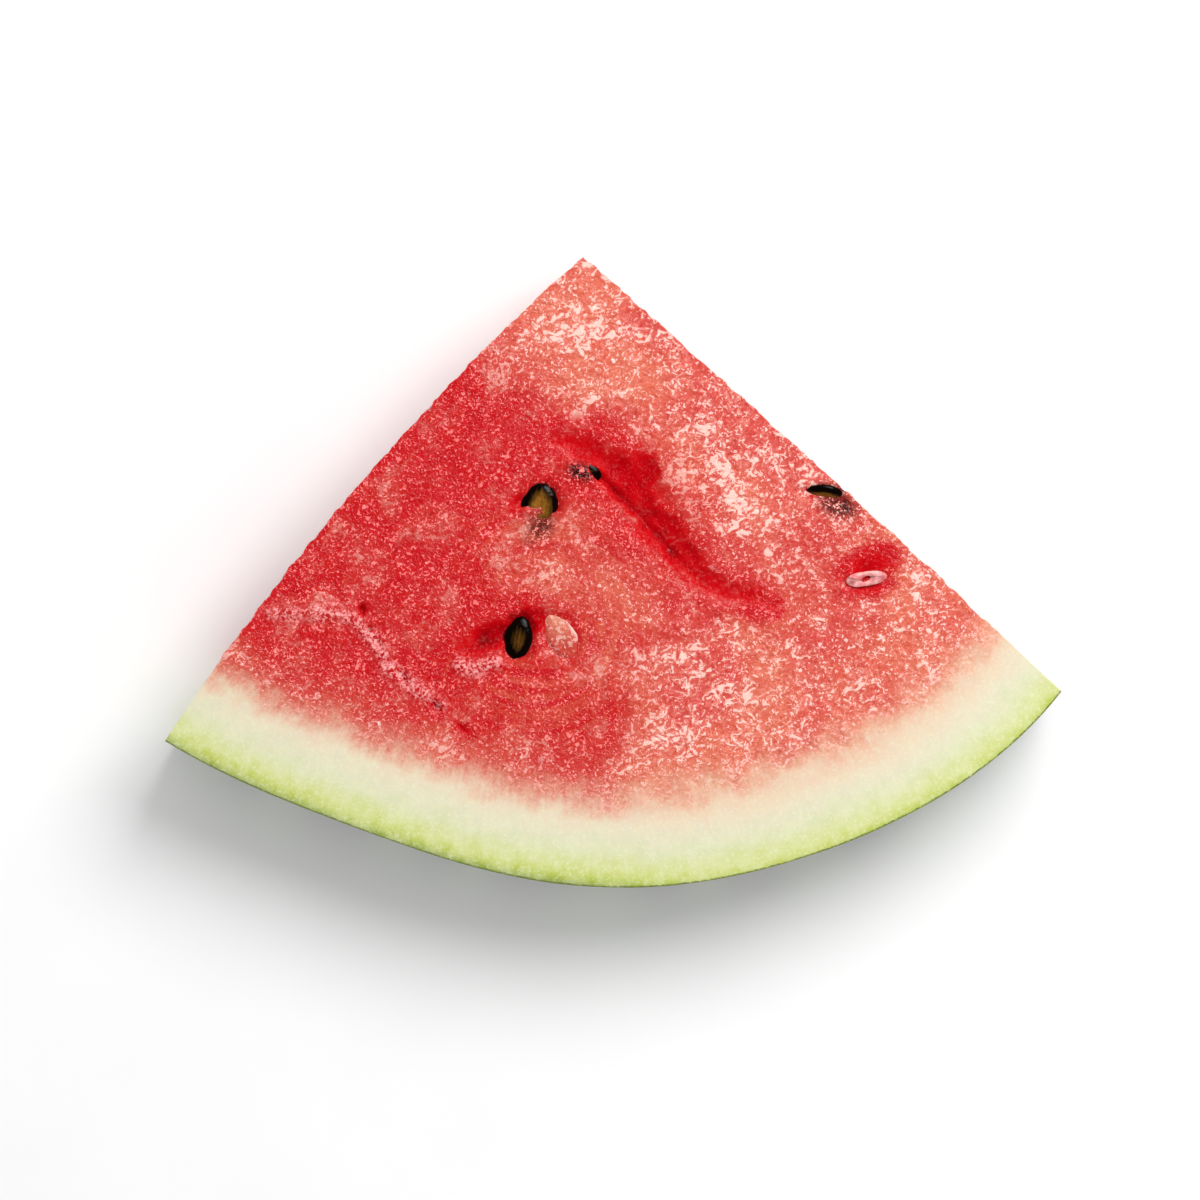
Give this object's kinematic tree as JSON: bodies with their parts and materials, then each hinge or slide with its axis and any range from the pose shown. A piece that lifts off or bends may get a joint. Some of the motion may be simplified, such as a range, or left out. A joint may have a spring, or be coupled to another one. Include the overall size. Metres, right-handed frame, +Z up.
{
  "type": "watermelon wedge",
  "caption": "Quarter of a round cross-slice of watermelon: flat slab of red flesh with dark seeds, two straight knife cuts and a curved green rind, for eating or display.",
  "frame": {"origin": "middle of the bounding box of the base, on the lower cut face", "axes": "+X along the rind from corner to corner, +Y towards the pointed end of the wedge, +Z up from the lower cut face to the upper one"},
  "size_m": [0.1688, 0.119, 0.0282],
  "materials": {
    "melon_flesh_and_rind": "wet cut fruit flesh, shading to a pale then green rind",
    "seed_shell": "smooth black-brown seed shell, wet",
    "unripe_seed": "soft translucent pale seed coat, wet"
  },
  "bodies": {
    "root": {"wedge": "melon_flesh_and_rind", "seed_upper": "seed_shell", "seed_beside_split": "seed_shell", "seed_lower": "seed_shell", "seed_pale": "unripe_seed", "seed_on_edge": "seed_shell", "seed_coat": "unripe_seed", "seed_left_inner": "seed_shell", "seed_left_outer": "seed_shell", "seed_right_low": "seed_shell", "seed_under_left": "seed_shell", "seed_under_middle": "seed_shell", "seed_under_right": "seed_shell"}
  },
  "joints": []
}
